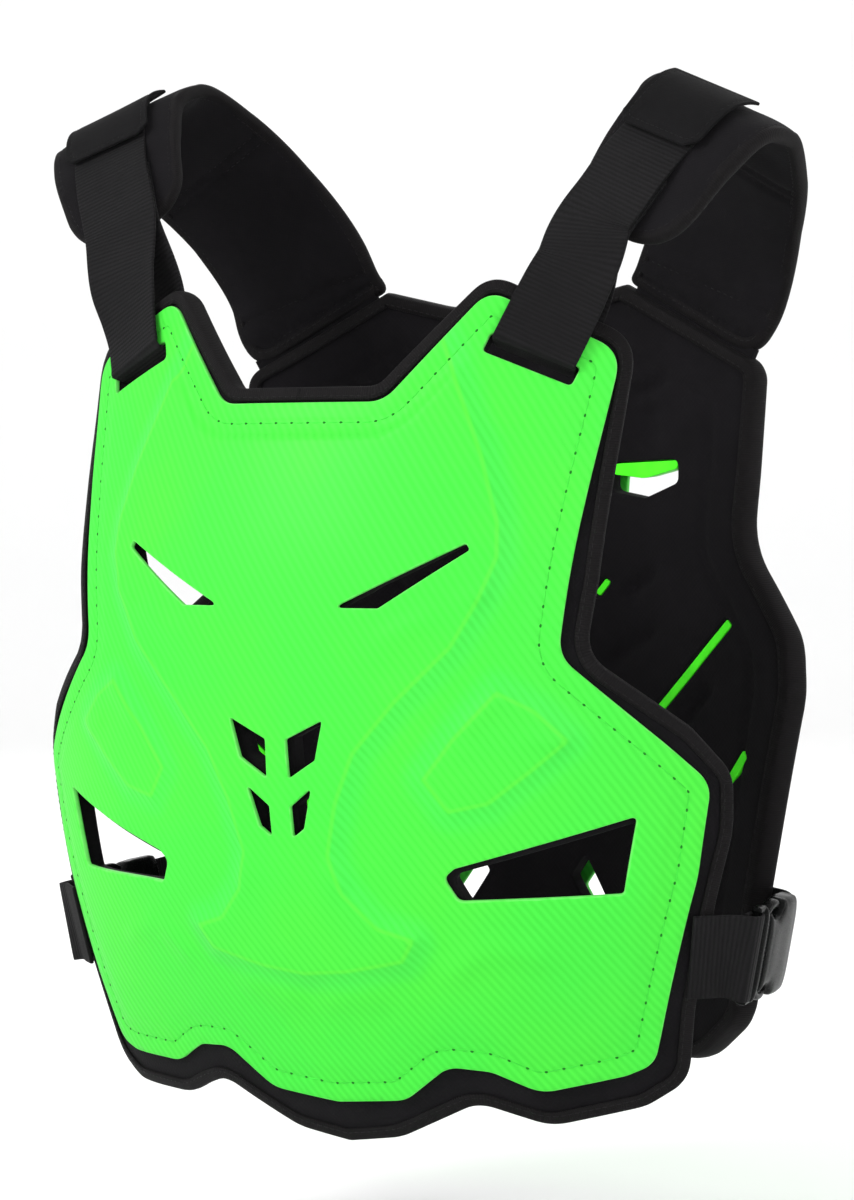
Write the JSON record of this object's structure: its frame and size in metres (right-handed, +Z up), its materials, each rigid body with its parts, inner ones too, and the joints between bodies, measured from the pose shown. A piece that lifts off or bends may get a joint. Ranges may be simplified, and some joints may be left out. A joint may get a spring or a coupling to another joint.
{
  "type": "motorcycle armour vest",
  "caption": "Chest and back protector worn over the shoulders: moulded green plates on padded liners, padded shoulder straps and buckled waist webbing, open for neck, arms and torso.",
  "frame": {"origin": "midway between the two shoulders, under the shoulder pads, where the vest hangs on its wearer: on the middle plane, 108 mm behind and 135 mm above the middle of the front neckline", "axes": "+Z up, -Y forward out of the chest plate, +X towards the wearer's left"},
  "size_m": [0.4, 0.2641, 0.5144],
  "materials": {
    "green_plate": "bright green moulded polypropylene, semi-gloss with a fine moulded twill grain",
    "foam_cloth": "black foam faced with knitted cloth",
    "binding_tape": "black woven edge tape, folded over and sewn",
    "pad_cloth": "black cloth over soft foam",
    "webbing": "black ribbed polypropylene webbing",
    "tab_patch": "black woven patch with a sewn edge",
    "buckle_plastic": "black moulded acetal, satin to glossy"
  },
  "bodies": {
    "root": {"front_plate": "green_plate", "front_liner": "foam_cloth", "front_binding": "binding_tape", "back_plate": "green_plate", "back_liner": "foam_cloth", "back_binding": "binding_tape", "shoulder_pad_left": "pad_cloth", "shoulder_strap_left": "webbing", "strap_tab_left": "tab_patch", "waist_strap_front_left": "webbing", "waist_strap_back_left": "webbing", "buckle_plug_left": "buckle_plastic", "buckle_socket_left": "buckle_plastic", "shoulder_pad_right": "pad_cloth", "shoulder_strap_right": "webbing", "strap_tab_right": "tab_patch", "waist_strap_front_right": "webbing", "waist_strap_back_right": "webbing", "buckle_plug_right": "buckle_plastic", "buckle_socket_right": "buckle_plastic"}
  },
  "joints": []
}
